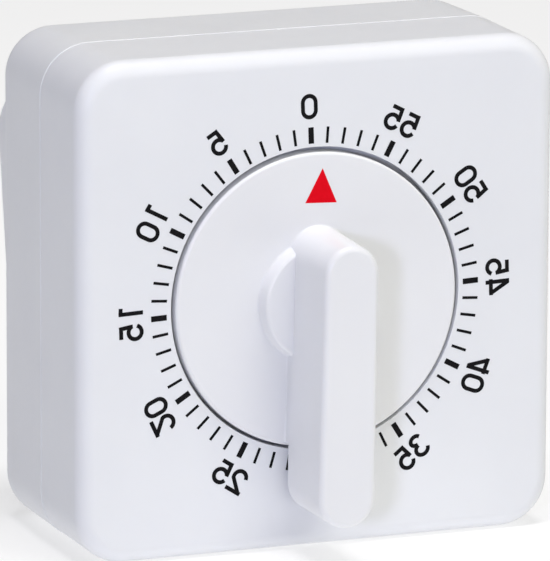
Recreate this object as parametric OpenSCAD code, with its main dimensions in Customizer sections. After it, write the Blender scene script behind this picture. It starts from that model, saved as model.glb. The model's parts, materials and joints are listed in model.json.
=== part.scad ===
// Wind-up 60 minute timer: square two-part case, turning disc with a bar grip,
// spring-driven movement with a lever escapement, and a bell in a chamber behind.
// Millimetres, +Z up, front towards -Y. The origin is the middle of the flat base.

/* [Case] */
// Width of the case at its parting line
case_w = 71; // [70:0.5:90]
// Height of the case at its parting line
case_h = 70.8; // [70:0.2:90]
// Depth of the case, without the bell chamber
case_d = 33.8; // [33:0.2:45]
// Depth of the front half of the case
front_half_d = 15.1; // [14.5:0.1:17]
// Corner radius of the case, seen from the front
corner_r = 7.2; // [6:0.1:10]
// Thickness of the case walls
wall = 2; // [1.6:0.1:2.4]
// Rounding of the front edge
front_round = 2.35; // [1:0.05:3]
// Rounding of the rear edge
rear_round = 4.4; // [2:0.1:5]
// Draft of the front half, in degrees
front_draft = 0.64; // [0:0.02:1.5]
// Draft of the rear half, in degrees
rear_draft = 0.98; // [0:0.02:1.5]

/* [Bell chamber] */
// Width of the bell chamber
chamber_w = 65; // [60:0.5:65.5]
// Height of the chamber's top edge above the base
chamber_top = 61.7; // [60:0.1:62]
// Height of the chamber's bottom edge above the base
chamber_bottom = 9.6; // [9.2:0.1:12]
// How far the chamber stands behind the case at its top
chamber_d = 10; // [8:0.5:14]
// Slope of the chamber's back, in degrees
chamber_slope = 8.8; // [4:0.2:10]
// Corner radius of the chamber, seen from behind
chamber_corner_r = 8.5; // [5:0.5:12]
// Rounding of the chamber's back edge
chamber_round = 2; // [1:0.5:3]
// Number of sound slots
slot_count = 5; // [3:2:7]
// Width of one sound slot
slot_w = 1.8; // [1:0.1:2.5]
// Length of one sound slot
slot_l = 18; // [10:1:24]
// Distance between the sound slots
slot_pitch = 5; // [4:0.5:6]

/* [Dial] */
// Sideways place of the main axis, from the middle of the case
dial_x = -0.45; // [-1:0.05:1]
// Height of the main axis above the base
dial_z = 35.4; // [34.5:0.1:45]
// Radius of the turning disc
disc_r = 21.05; // [20:0.05:23]
// Radial gap between the disc and its recess
disc_gap = 0.35; // [0.3:0.05:1]
// How far the disc's face stands in front of the case
disc_proud = 0.4; // [0.2:0.05:1]
// Thickness of the disc
disc_t = 1.8; // [1.4:0.1:2.2]
// Rounding of the disc's edge
disc_round = 0.6; // [0.3:0.05:0.8]
// Depth of the rim behind the disc
skirt_d = 0.6; // [0.3:0.1:0.8]
// Width of the rim behind the disc
skirt_w = 1.5; // [1:0.1:2.5]
// Depth of the recess
recess_d = 3; // [2.8:0.1:3.4]
// Thickness of the recess's floor
recess_floor = 1.6; // [1.2:0.1:1.8]
// Radius of the low boss at the disc
boss_r = 8.65; // [7:0.05:10]
// Height of the low boss
boss_h = 2.2; // [1:0.1:3]

/* [Grip] */
// Height of the grip's front face in front of the case
grip_h = 13.4; // [10:0.1:16]
// Distance from the main axis to the grip's upper end
grip_up = 10.5; // [8:0.1:14]
// Distance from the main axis to the grip's lower end
grip_down = 29.6; // [24:0.1:30]
// Half width of the grip at its root
grip_half_w = 4.25; // [3.8:0.05:5]
// Half width of the grip at its front, upper end
grip_front_up = 3.95; // [3.5:0.05:4.2]
// Half width of the grip at its front, lower end
grip_front_down = 4.15; // [3.5:0.05:4.2]
// Rounding of the grip's front edge
grip_round = 0.9; // [0.4:0.1:1.4]
// Gap between the case and the overhanging end of the grip
grip_gap = 1.5; // [1:0.1:2.5]
// Wall of the cored-out grip
grip_wall = 1.7; // [1.2:0.1:1.8]
// Turn of the knob at rest, in degrees
knob_rest = -0.95; // [-2:0.05:2]
// Radius of the sleeve behind the disc
sleeve_r = 4.5; // [4:0.1:5]
// Wall of the sleeve inside the grip
sleeve_wall = 1.2; // [0.9:0.1:1.4]

/* [Movement] */
// Width and height of the movement's plates
plate_w = 54; // [54:0.5:58]
// Corner radius of the plates
plate_corner_r = 8; // [7:0.5:9]
// Thickness of the plates
plate_t = 1; // [0.8:0.1:1.2]
// Distance between the plates
plate_span = 14.2; // [14.2:0.1:16]
// Gap from the recess's floor to the front plate
plate_gap = 3.1; // [3:0.1:4]
// Distance of the pillars from the main axis, sideways and up
pillar_at = 21.5; // [21:0.5:22]
// Radius of a pillar
pillar_r = 1.8; // [1.5:0.1:2]
// Radius of the main arbor where the knob sits
arbor_r = 2; // [1.6:0.1:2.4]
// Depth of the flat on the main arbor
arbor_flat = 0.5; // [0.3:0.1:0.8]
// Radius of the main arbor between the plates
hub_r = 2.6; // [2.5:0.1:3]
// Radius of the train arbors
train_arbor_r = 0.7; // [0.6:0.05:0.9]
// Radius of the train arbors' pivots
pivot_r = 0.4; // [0.3:0.05:0.5]

/* [Gear train] */
// Teeth on each wheel
wheel_teeth = 60; // [60]
// Leaves on each pinion
pinion_leaves = 10; // [10]
// Module of the first pair
module_1 = 0.5; // [0.45:0.01:0.52]
// Module of the second pair
module_2 = 0.4; // [0.38:0.01:0.42]
// Module of the third pair
module_3 = 0.35; // [0.33:0.01:0.36]
// Thickness of the main wheel
main_wheel_t = 1; // [0.8:0.1:1.2]
// Thickness of the other wheels
train_wheel_t = 0.7; // [0.5:0.1:0.8]
// Length of a pinion's leaves
pinion_l = 2.4; // [2:0.1:2.6]
// Direction from the main to the second arbor
second_dir = 200; // [195:1:205]
// Direction from the second to the third arbor
third_dir = -55; // [-58:1:-52]
// Direction from the third to the escape arbor
escape_dir = 5; // [0:1:10]

/* [Escapement] */
// Teeth on the escape wheel
escape_teeth = 15; // [15]
// Radius of the escape wheel
escape_r = 5.5; // [5:0.1:5.6]
// Distance from the escape to the pallet arbor
pallet_reach = 7.7; // [7.5:0.1:8]
// Half the angle between the pallet pins, at the escape arbor
pallet_half_angle = 40; // [38:1:42]
// Radius of the pallet pins
pallet_pin_r = 0.25; // [0.2:0.05:0.3]
// Gap from the escape wheel's teeth to the pins, lever in the middle
pallet_gap = 0.47; // [0.45:0.01:0.6]
// Distance from the pallet to the balance arbor
balance_reach = 10; // [10:0.1:10.5]
// Direction from the pallet to the balance arbor
balance_dir = 35; // [30:1:40]
// Outer radius of the balance wheel
balance_r = 8; // [7:0.1:8.2]
// Width of the balance wheel's rim
balance_rim = 1.3; // [1:0.1:1.6]
// Radius at which the balance's impulse pin runs
impulse_at = 1.7; // [1.5:0.1:1.9]

/* [Springs] */
// Thickness of the mainspring
mainspring_t = 0.3; // [0.2:0.05:0.35]
// Width of the mainspring
mainspring_w = 4.4; // [3.5:0.1:4.6]
// Turns of the mainspring
mainspring_turns = 6; // [4:1:8]
// Outer radius of the mainspring
mainspring_r = 10; // [9:0.1:10.5]
// Thickness of the hairspring
hairspring_t = 0.15; // [0.1:0.01:0.2]
// Turns of the hairspring
hairspring_turns = 6; // [4:1:7]
// Outer radius of the hairspring
hairspring_r = 5.2; // [4.5:0.1:5.4]

/* [Ratchet] */
// Teeth on the ratchet wheel
ratchet_teeth = 16; // [16]
// Radius of the ratchet wheel
ratchet_r = 5.2; // [5:0.1:5.4]
// Depth of the ratchet's teeth
ratchet_depth = 0.8; // [0.6:0.05:0.9]
// Distance of the click's pivot from the main axis
click_at = 8.6; // [8.4:0.1:9]

/* [Bell] */
// Radius of the gong
gong_r = 22; // [21:0.1:22.5]
// Depth of the gong
gong_d = 7.2; // [7:0.1:7.6]
// Thickness of the gong
gong_t = 0.9; // [0.7:0.1:1]
// Distance from the rear plate to the gong's rim
gong_gap = 3; // [2.8:0.1:3.2]
// Radius of the hammer's head
hammer_r = 1.5; // [1:0.1:1.6]
// Gap from the resting hammer to the gong
hammer_gap = 0.6; // [0.55:0.05:0.8]
// Radius of the release cam
cam_r = 7; // [6.8:0.1:7.2]
// Depth of the release cam's notch
cam_notch = 1.7; // [1.5:0.1:1.9]
// Thickness of the cam and the release lever
cam_t = 1.2; // [1:0.1:1.4]
// Teeth on the strike wheel
strike_teeth = 10; // [8:1:12]
// Radius of the strike wheel
strike_r = 4.5; // [4:0.1:4.8]

/* [Fasteners] */
// Distance of the case screws from the case's sides
case_screw_in = 6.3; // [6:0.1:6.6]
// Outer radius of the screw bosses
screw_boss_r = 3.2; // [3:0.1:3.4]
// Radius of the case screws
case_screw_r = 1.1; // [0.9:0.1:1.3]
// Radius of the case screws' heads
case_head_r = 2.1; // [1.9:0.1:2.2]
// Length of the case screws under the head
case_screw_l = 16; // [14:1:17]
// Radius of the posts that carry the movement
post_r = 2.4; // [2.2:0.1:2.5]
// Radius of the small screws
small_screw_r = 0.8; // [0.6:0.1:0.9]
// Radius of the small screws' heads
small_head_r = 1.7; // [1.4:0.1:1.8]
// Height of the small screws' heads
small_head_h = 1; // [0.8:0.1:1.2]

/* [Fits] */
// Radial clearance of a running fit
running = 0.05; // [0.03:0.01:0.08]
// Radial clearance of a seated fit
seated = 0.01; // [0.01:0.01:0.02]
// Radial clearance round a screw that passes through
screw_gap = 0.2; // [0.1:0.05:0.3]
// Gap between pieces that pass each other
clear = 0.3; // [0.3:0.05:0.4]

/* [Hidden] */

$fn = 64;
hull_fn = 32;
eps = 0.01;
cut = 0.5;
step = 0.05;

// Places along Y
front_y = -case_d / 2;
part_y = front_y + front_half_d;
rear_y = case_d / 2;
disc_y = front_y - disc_proud;
floor_y = front_y + recess_d;
floor_back = floor_y + recess_floor;
plate_1 = floor_back + plate_gap;
span_1 = plate_1 + plate_t;
span_2 = span_1 + plate_span;
plate_2 = span_2 + plate_t;
play = 0.1;
cam_gap = 0.7;
cam_y = floor_back + cam_gap;
gong_y = plate_2 + gong_gap;
gong_back = gong_y + gong_d;

// Layers of the movement, front face of each
strike_y = span_1 + 1.7;
lever_y = span_1 + 2;
lever_t = 0.8;
escape_y = lever_y + lever_t + clear;
spring_gap = 0.6;
spring_y = span_1 + spring_gap;
ratchet_y = spring_y + mainspring_w + spring_gap;
ratchet_t = 1;
close_gap = 0.2;
main_y = ratchet_y + ratchet_t + close_gap;
wheel_gap = 0.4;
pinion_1_y = main_y - (pinion_l - main_wheel_t) / 2;
second_y = pinion_1_y + pinion_l + wheel_gap;
pinion_2_y = second_y - (pinion_l - train_wheel_t) / 2;
third_y = pinion_2_y + pinion_l + wheel_gap;
pinion_3_y = third_y - (pinion_l - train_wheel_t) / 2;
hair_y = main_y + close_gap;
hair_w = 0.5;
balance_y = hair_y + 2.6;
balance_t = 1.5;
roller_y = lever_y - 1.2;
roller_t = 0.8;
hammer_y = plate_2 + 1.2;
hammer_t = 1;
screw_seat = 9;
seat_y = part_y + screw_seat;
bore_cap = 3;
bore_top = front_y - grip_h + bore_cap;

// Places across the movement, from the main axis
function polar(r, a) = [r * cos(a), r * sin(a)];
pair_1 = module_1 * (wheel_teeth + pinion_leaves) / 2;
pair_2 = module_2 * (wheel_teeth + pinion_leaves) / 2;
pair_3 = module_3 * (wheel_teeth + pinion_leaves) / 2;
main_at = [0, 0];
second_at = polar(pair_1, second_dir);
third_at = second_at + polar(pair_2, third_dir);
escape_at = third_at + polar(pair_3, escape_dir);
pallet_at = escape_at + polar(pallet_reach, 0);
balance_at = pallet_at + polar(balance_reach, balance_dir);
hammer_at = [-14.5, 9.5];
release_at = [-7.5, 11.5];
click_dir = 45;
click_pos = polar(click_at, click_dir);
click_foot_at = click_pos + [2, 2.6];
spring_post_at = polar(mainspring_r + 2.2, 60);
stud_at = balance_at + polar(hairspring_r + 0.8, 10);
pillars = [for (sx = [-1, 1], sz = [-1, 1]) [sx * pillar_at, sz * pillar_at]];
posts = [[-24.6, 8.6], [24.6, 8.6], [11.5, -24.6]];
screw_x = case_w / 2 - case_screw_in;
screws = [for (sx = [-1, 1], z = [case_screw_in, case_h - case_screw_in]) [sx * screw_x, z]];

// Small pieces: studs, pins, eyes and arms
foot_r = 0.6;
post_pin_r = 0.9;
post_eye_r = 1.2;
stud_r = 0.5;
stud_foot_r = 0.35;
pin_r = 0.6;
pin_head_r = 1.1;
pin_head_t = 0.25;
click_eye_r = 1.5;
click_spring_t = 0.3;
click_spring_w = 0.4;
click_foot_r = 0.5;
rear_pivot_r = 1.2;
pillar_foot_r = 1;
pillar_bore_l = 5;
post_floor = 1;
short_screw_l = 4.5;
gong_screw_l = 4;
gong_bore_l = 4;
gong_head_r = 2.5;
case_head_h = 1.5;
notch_dir = 60;
notch_w = 2.8;
eye_r = 1.7;
arm_w = 1;
hammer_arm_w = 1.2;
collar_w = 0.5;
collar_l = 1.2;
tail_gap = 0.8;
lift_gap = 0.75;
release_reach = 2.6;
release_arm_w = 1.4;
release_pin_r = 0.8;
release_head_r = 1.4;
release_head_t = 0.4;
gong_base_r = 4.5;
gong_base_t = 1.2;
gong_post_r = 2;
gong_knee = 4;

// Phase of each gear, in degrees, so that the teeth meet at rest
leaf_step = 360 / pinion_leaves;
gear_ratio = wheel_teeth / pinion_leaves;
function mesh_phase(dir, driver) = dir + 180 + leaf_step / 2 - (driver - dir) * gear_ratio;
second_phase = mesh_phase(second_dir, 0);
third_phase = mesh_phase(third_dir, second_phase);
escape_phase = mesh_phase(escape_dir, third_phase);

// Pointed teeth: depth, and share of the pitch at which each side's tip and root stand
strike_depth = 1.2;
strike_tooth = [0.45, 0.6, 0.61];
escape_depth = 1.5;
escape_tooth = [0.55, 0.7, 0.75];
escape_hole_at = 2.4;
escape_hole_r = 0.8;

// Share of the tooth pitch at the root, at the pitch circle and at the tip
wheel_tooth = [0.5, 0.38, 0.14];
leaf_tooth = [0.36, 0.36, 0.16];
wheel_add = 0.95;
leaf_add = 0.6;
root_gap = 0.35;

// ---- helpers -------------------------------------------------------------

// Stands its children at a place of the movement, back face at y, growing towards the front
module at(p, y) translate([dial_x + p[0], y, dial_z + p[1]]) rotate([90, 0, 0]) children();

// Round bar between two depths
module rod(p, front, back, r) at(p, back) cylinder(h = back - front, r = r);

// Flat piece between two depths
module sheet(p, front, thickness) at(p, front + thickness) linear_extrude(thickness) children();

module rounded(w, h, r) {
    square([w - 2 * r, h], center = true);
    square([w, h - 2 * r], center = true);
    for (sx = [-1, 1], sz = [-1, 1])
        translate([sx * (w / 2 - r), sz * (h / 2 - r)]) circle(r = r);
}

// Thin slice of the case: inset at the sides and top, and its own inset underneath
module case_slice(y, inset, under) {
    w = case_w - 2 * inset;
    h = case_h - inset - under;
    translate([0, y, under + h / 2]) rotate([90, 0, 0])
        linear_extrude(eps, center = true) rounded(w, h, max(corner_r - inset, 1), $fn = hull_fn);
}

function tooth(n, i, rr, rp, rt, share) = let (p = 360 / n, a = i * p) [
    polar(rr, a - share[0] * p / 2), polar(rp, a - share[1] * p / 2), polar(rt, a - share[2] * p / 2),
    polar(rt, a + share[2] * p / 2), polar(rp, a + share[1] * p / 2), polar(rr, a + share[0] * p / 2)
];

module wheel_outline(m) {
    rp = m * wheel_teeth / 2;
    polygon([for (i = [0:wheel_teeth - 1])
        each tooth(wheel_teeth, i, rp - (leaf_add + root_gap) * m, rp, rp + wheel_add * m, wheel_tooth)]);
}

module pinion_outline(m) {
    rp = m * pinion_leaves / 2;
    polygon([for (i = [0:pinion_leaves - 1])
        each tooth(pinion_leaves, i, rp - (wheel_add + root_gap) * m, rp, rp + leaf_add * m, leaf_tooth)]);
}

// Outline with pointed teeth that all lean the same way
module saw_outline(n, r, depth, share) {
    p = 360 / n;
    polygon([for (i = [0:n - 1]) each [
        polar(r - depth, i * p), polar(r, (i + share[0]) * p),
        polar(r, (i + share[1]) * p), polar(r - depth, (i + share[2]) * p)
    ]]);
}

// Wheel with a bore and round lightening holes
module wheel(p, front, t, m, phase, bore, hole_r, hole_at) {
    difference() {
        sheet(p, front, t) rotate(phase) wheel_outline(m);
        rod(p, front - cut, front + t + cut, bore);
        for (a = [0:60:300])
            rod(p + polar(hole_at, a + phase), front - cut, front + t + cut, hole_r);
    }
}

// Arbor between the plates with a pivot at each end, and a pinion cut on it
module train_arbor(p) {
    rod(p, span_1 + play, span_2 - play, train_arbor_r);
    rod(p, plate_1, span_1 + play, pivot_r);
    rod(p, span_2 - play, plate_2, pivot_r);
}

module pinion(p, front, m, phase) {
    train_arbor(p);
    sheet(p, front, pinion_l) rotate(phase) pinion_outline(m);
}

// Flat spiral strip, from inner to outer radius
function spiral(r0, r1, turns, a1, side) = [for (k = [0:turns * 24])
    polar(r0 + (r1 - r0) * k / (turns * 24) + side, a1 - 15 * (turns * 24 - k))];
module spiral_strip(r0, r1, turns, a1, t) {
    inner = spiral(r0, r1, turns, a1, -t / 2);
    outer = spiral(r0, r1, turns, a1, t / 2);
    polygon(concat(outer, [for (k = [len(inner) - 1:-1:0]) inner[k]]));
}

// Bar with round ends, from one point to another
module link(a, b, w) {
    d = b - a;
    translate(a) rotate(atan2(d[1], d[0])) translate([0, -w / 2]) square([norm(d), w]);
    translate(a) circle(r = w / 2);
    translate(b) circle(r = w / 2);
}

// Round shank with a flat on one side
module flatted(r) {
    difference() {
        circle(r = r);
        translate([r - arbor_flat, -r]) square([2 * r, 2 * r]);
    }
}

// Screw that points forwards: head between head_y and head_y + head_h
module screw(p, head_y, r, l, head_r, head_h) {
    difference() {
        union() {
            rod(p, head_y - l, head_y + cut, r);
            rod(p, head_y, head_y + head_h, head_r);
        }
        at(p, head_y + head_h + eps) linear_extrude(head_h / 2)
            square([2 * (head_r + cut), head_r / 3], center = true);
    }
}

// ---- case ----------------------------------------------------------------

module front_outer() {
    rise = front_half_d * tan(front_draft);
    hull() {
        for (a = [0:18:90]) {
            inset = front_round * (1 - cos(a));
            y = front_y + front_round * (1 - sin(a)) + eps / 2;
            case_slice(y, rise * (part_y - y) / front_half_d + inset, inset);
        }
        case_slice(part_y - eps / 2, 0, 0);
    }
}

module front_housing() color("whitesmoke") {
    cavity_r = max(corner_r - wall, 1);
    inner = front_y + wall;
    difference() {
        union() {
            difference() {
                front_outer();
                translate([0, part_y + cut, case_h / 2]) rotate([90, 0, 0])
                    linear_extrude(part_y + cut - inner)
                        rounded(case_w - 2 * wall, case_h - 2 * wall, cavity_r);
            }
            rod(main_at, inner - step, floor_back, disc_r + disc_gap + recess_floor);
            for (s = screws) case_rod(s, inner - step, part_y, screw_boss_r);
            for (p = posts) rod(p, inner - step, plate_1, post_r);
        }
        rod(main_at, front_y - cut, floor_y, disc_r + disc_gap);
        rod(main_at, floor_y - cut, floor_back + cut, sleeve_r + clear);
        for (s = screws) case_rod(s, inner, part_y + cut, case_screw_r + seated);
        for (p = posts) rod(p, inner + post_floor, plate_1 + cut, small_screw_r + seated);
    }
}

// Round bar at a case screw, between two depths
module case_rod(s, front, back, r) {
    translate([s[0], back, s[1]]) rotate([90, 0, 0]) cylinder(h = back - front, r = r);
}

// One slice of the bell chamber, parallel to its sloping back
module chamber_slice(behind, inset) {
    h = chamber_top - chamber_bottom;
    translate([0, rear_y + chamber_d - behind, chamber_top]) rotate([-chamber_slope, 0, 0])
        translate([0, 0, -h / 2]) rotate([90, 0, 0]) linear_extrude(eps)
            rounded(chamber_w - 2 * inset, h - 2 * inset, chamber_corner_r - inset, $fn = hull_fn);
}

module chamber(inset) {
    h = chamber_top - chamber_bottom;
    hull() {
        translate([0, rear_y - wall, chamber_bottom + h / 2]) rotate([90, 0, 0]) linear_extrude(eps)
            rounded(chamber_w - 2 * inset, h - 2 * inset, chamber_corner_r - inset, $fn = hull_fn);
        for (a = [0:30:90])
            chamber_slice(inset + chamber_round * (1 - sin(a)), inset + chamber_round * (1 - cos(a)));
    }
}

module rear_outer() {
    rear_half_d = case_d - front_half_d;
    rise = rear_half_d * tan(rear_draft);
    hull() {
        case_slice(part_y + eps / 2, 0, 0);
        for (a = [0:18:90]) {
            inset = rear_round * (1 - cos(a));
            y = rear_y - rear_round * (1 - sin(a)) - eps / 2;
            case_slice(y, rise * (y - part_y) / rear_half_d + inset, inset);
        }
    }
}

module rear_housing() color("gainsboro") {
    cavity_r = max(corner_r - wall, 1);
    rise = (case_d - front_half_d) * tan(rear_draft);
    difference() {
        union() {
            difference() {
                union() {
                    rear_outer();
                    chamber(0);
                }
                translate([0, rear_y - rear_round, case_h / 2]) rotate([90, 0, 0])
                    linear_extrude(rear_y - rear_round - part_y + cut)
                        rounded(case_w - 2 * (wall + rise), case_h - 2 * (wall + rise), cavity_r);
                chamber_hollow();
            }
            for (s = screws) case_rod(s, part_y, rear_y - rear_round + cut, screw_boss_r);
        }
        for (s = screws) {
            case_rod(s, part_y - cut, rear_y, case_screw_r + screw_gap);
            case_rod(s, seat_y, rear_y + cut, case_head_r + screw_gap);
        }
        for (k = [0:slot_count - 1]) sound_slot((k - (slot_count - 1) / 2) * slot_pitch);
    }
}

module chamber_hollow() {
    chamber(wall);
    h = chamber_top - chamber_bottom - 2 * wall;
    translate([0, rear_y - wall + step, chamber_bottom + wall + h / 2]) rotate([90, 0, 0])
        linear_extrude(rear_round) rounded(chamber_w - 2 * wall, h, chamber_corner_r - wall);
}

module sound_slot(x) {
    reach = (slot_l - slot_w) / 2;
    at([x - dial_x, 0], rear_y + chamber_d + cut) linear_extrude(chamber_d + cut)
        link([0, -reach], [0, reach], slot_w);
}

module case_screws() color("silver") {
    for (s = screws)
        screw([s[0] - dial_x, s[1] - dial_z], seat_y, case_screw_r, case_screw_l, case_head_r, case_head_h);
}

// ---- knob ----------------------------------------------------------------

// Upright bar of the grip, seen from the front, for a half width at each end
module grip_slice(y, up_r, down_r, inset) {
    for (e = [[grip_up - grip_half_w, up_r], [grip_half_w - grip_down, down_r]])
        at([0, e[0]], y + eps) cylinder(h = eps, r = e[1] - inset, $fn = hull_fn);
}

module grip() {
    face = front_y - grip_h;
    hull() {
        grip_slice(front_y - grip_gap, grip_half_w, grip_half_w, 0);
        for (a = [0:22.5:90]) {
            inset = grip_round * (1 - cos(a));
            grip_slice(face + grip_round * (1 - sin(a)), grip_front_up, grip_front_down, inset);
        }
    }
}

module grip_core() {
    up = grip_up - grip_half_w;
    core_w = 2 * (grip_half_w - grip_wall);
    end = disc_r - skirt_w - grip_half_w;
    sheet(main_at, front_y - grip_h + grip_wall, grip_h) link([0, up], [0, -end], core_w);
}

module disc_profile() {
    rim = disc_r - disc_round;
    back = disc_y + disc_t;
    translate([0, -disc_t]) square([rim, disc_t]);
    translate([0, -disc_t]) square([disc_r, disc_t - disc_round]);
    translate([rim, -disc_round]) circle(r = disc_round);
    translate([disc_r - skirt_w, -disc_t - skirt_d]) square([skirt_w, skirt_d + step]);
}

module knob() color("white") {
    at(main_at, disc_y) rotate(knob_rest) translate([-dial_x, -dial_z, 0]) rotate([-90, 0, 0])
        translate([0, -disc_y, 0]) knob_upright();
}

module knob_upright() {
    difference() {
        union() {
            difference() {
                union() {
                    at(main_at, disc_y) rotate_extrude() disc_profile();
                    at(main_at, disc_y + step) cylinder(h = boss_h + step, r1 = boss_r, r2 = boss_r - clear);
                    grip();
                    intersection() {
                        sheet(main_at, front_y - grip_gap - step, grip_gap + step)
                            link([0, grip_up - grip_half_w], [0, grip_half_w - grip_down], 2 * grip_half_w);
                        rod(main_at, front_y - grip_h, disc_y + step, disc_r - disc_round);
                    }
                }
                grip_core();
            }
            rod(main_at, bore_top - grip_wall, disc_y + step, arbor_r + sleeve_wall);
            rod(main_at, disc_y + disc_t - step, cam_y - clear, sleeve_r);
            rod(main_at, disc_y, disc_y + disc_t, sleeve_r);
        }
        sheet(main_at, bore_top, cam_y - bore_top + cut) flatted(arbor_r + seated);
    }
}

// ---- main arbor and what it carries -------------------------------------

module main_arbor() color("silver") {
    sheet(main_at, bore_top + clear, plate_1 - bore_top - 2 * clear) rotate(knob_rest) flatted(arbor_r);
    rod(main_at, plate_1 - clear - step, span_1 + play, arbor_r);
    rod(main_at, span_1 + play, span_2 - play, hub_r);
    rod(main_at, span_2 - play - step, plate_2, rear_pivot_r);
}

module release_cam() color("goldenrod") {
    difference() {
        rod(main_at, cam_y, cam_y + cam_t, cam_r);
        sheet(main_at, cam_y - cut, cam_t + 2 * cut) rotate(notch_dir)
            translate([cam_r - cam_notch, -notch_w / 2]) square([cam_r, notch_w]);
        sheet(main_at, cam_y - cut, cam_t + 2 * cut) rotate(knob_rest) flatted(arbor_r + seated);
    }
}

module mainspring() color("slategray") {
    eye_edge = spring_post_at + polar((post_pin_r + post_eye_r) / 2, -60);
    sheet(main_at, spring_y, mainspring_w) {
        spiral_strip(hub_r + mainspring_t / 2 + seated, mainspring_r, mainspring_turns, 30, mainspring_t);
        link(polar(mainspring_r, 30), eye_edge, mainspring_t);
        translate(spring_post_at) difference() {
            circle(r = post_eye_r);
            circle(r = post_pin_r + seated);
        }
    }
}

module spring_post() color("silver") {
    rod(spring_post_at, span_1, spring_y + mainspring_w + close_gap, post_pin_r);
    rod(spring_post_at, plate_1, span_1 + step, foot_r);
}

module ratchet_wheel() color("darkgoldenrod") {
    p = 360 / ratchet_teeth;
    root = ratchet_r - ratchet_depth;
    difference() {
        sheet(main_at, ratchet_y, ratchet_t)
            polygon([for (i = [0:ratchet_teeth - 1])
                each [polar(root, 90 + i * p), polar(ratchet_r, 90 + i * p + 1)]]);
        rod(main_at, ratchet_y - cut, ratchet_y + ratchet_t + cut, hub_r + seated);
    }
}

nose_at = [0.35, ratchet_r - ratchet_depth + 0.5];
module click() color("dimgray") {
    difference() {
        sheet(main_at, ratchet_y, ratchet_t - play) {
            translate(click_pos) circle(r = click_eye_r);
            polygon([nose_at, click_pos + [0.2, -1.4], click_pos + [-0.6, 1.3], nose_at + [0.2, 1.2]]);
        }
        rod(click_pos, ratchet_y - cut, ratchet_y + ratchet_t + cut, pin_r + running);
    }
}

module click_stud() color("silver") {
    head = ratchet_y - running - pin_head_t;
    rod(click_pos, head, main_y + main_wheel_t, pin_r);
    rod(click_pos, head, head + pin_head_t, pin_head_r);
}

module click_spring() color("slategray") {
    bend = click_pos + [-2, 2.6];
    sheet(main_at, ratchet_y, click_spring_w) {
        link(bend, nose_at + [0.9, 1.9], click_spring_t);
        link(bend, click_foot_at, click_spring_t);
    }
    rod(click_foot_at, ratchet_y, main_y, click_foot_r);
}

module main_wheel() color("gold") {
    difference() {
        wheel(main_at, main_y, main_wheel_t, module_1, 0, hub_r + running, 2.2, 10.8);
        rod(click_pos, main_y - cut, main_y + main_wheel_t + cut, pin_r + seated);
    }
}

// ---- train ---------------------------------------------------------------

module second_pinion() color("silver") pinion(second_at, pinion_1_y, module_1, second_phase);
module second_wheel() color("gold")
    wheel(second_at, second_y, train_wheel_t, module_2, second_phase, train_arbor_r + seated, 2.4, 7);
module third_pinion() color("silver") pinion(third_at, pinion_2_y, module_2, third_phase);
module third_wheel() color("gold")
    wheel(third_at, third_y, train_wheel_t, module_3, third_phase, train_arbor_r + seated, 2, 6);
module escape_pinion() color("silver") pinion(escape_at, pinion_3_y, module_3, escape_phase);

module strike_wheel() color("goldenrod") {
    difference() {
        sheet(second_at, strike_y, cam_t) saw_outline(strike_teeth, strike_r, strike_depth, strike_tooth);
        rod(second_at, strike_y - cut, strike_y + cam_t + cut, train_arbor_r + seated);
    }
}

module escape_wheel() color("gold") {
    difference() {
        sheet(escape_at, escape_y, train_wheel_t)
            saw_outline(escape_teeth, escape_r, escape_depth, escape_tooth);
        sheet(escape_at, escape_y - cut, train_wheel_t + 2 * cut) {
            circle(r = train_arbor_r + seated);
            for (a = [0:90:270]) translate(polar(escape_hole_at, a)) circle(r = escape_hole_r);
        }
    }
}

// ---- escapement ----------------------------------------------------------

pin_at_r = escape_r + pallet_pin_r + pallet_gap;
pallet_pins = [for (s = [-1, 1]) escape_at + polar(pin_at_r, s * pallet_half_angle)];
fork_reach = balance_reach - impulse_at - 0.9;
fork_l = 1.6;
fork_half_w = 0.75;
fork_w = 0.6;
lever_eye_r = 1.6;
impulse_pin_r = 0.2;

module pallet_arbor() color("silver") train_arbor(pallet_at);

module pallet_lever() color("darkgoldenrod") {
    fork = pallet_at + polar(fork_reach, balance_dir);
    fork_root = pallet_at + polar(fork_reach - fork_l, balance_dir);
    side = polar(fork_half_w, balance_dir + 90);
    difference() {
        sheet(main_at, lever_y, lever_t) {
            translate(pallet_at) circle(r = lever_eye_r);
            for (p = pallet_pins) link(pallet_at, p, arm_w);
            link(pallet_at, fork_root, arm_w);
            for (s = [-1, 1]) link(fork_root, fork + s * side, fork_w);
        }
        rod(pallet_at, lever_y - cut, lever_y + lever_t + cut, train_arbor_r + seated);
    }
    for (p = pallet_pins) rod(p, lever_y + lever_t - step, escape_y + train_wheel_t + clear, pallet_pin_r);
}

module balance_staff() color("silver") {
    train_arbor(balance_at);
    rod(balance_at, roller_y, roller_y + roller_t, impulse_at + collar_w);
    pin = balance_at + polar(impulse_at, balance_dir + 180);
    rod(pin, roller_y + roller_t - step, lever_y + lever_t, impulse_pin_r);
}

balance_arm_w = 1.2;
balance_hub_r = 1.8;
module balance_wheel() color("gold") {
    difference() {
        rod(balance_at, balance_y, balance_y + balance_t, balance_r);
        difference() {
            rod(balance_at, balance_y - cut, balance_y + balance_t + cut, balance_r - balance_rim);
            sheet(balance_at, balance_y, balance_t) {
                for (a = [0:120:240])
                    rotate(a) translate([0, -balance_arm_w / 2]) square([balance_r, balance_arm_w]);
                circle(r = balance_hub_r);
            }
        }
        rod(balance_at, balance_y - cut, balance_y + balance_t + cut, train_arbor_r + seated);
    }
}

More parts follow.
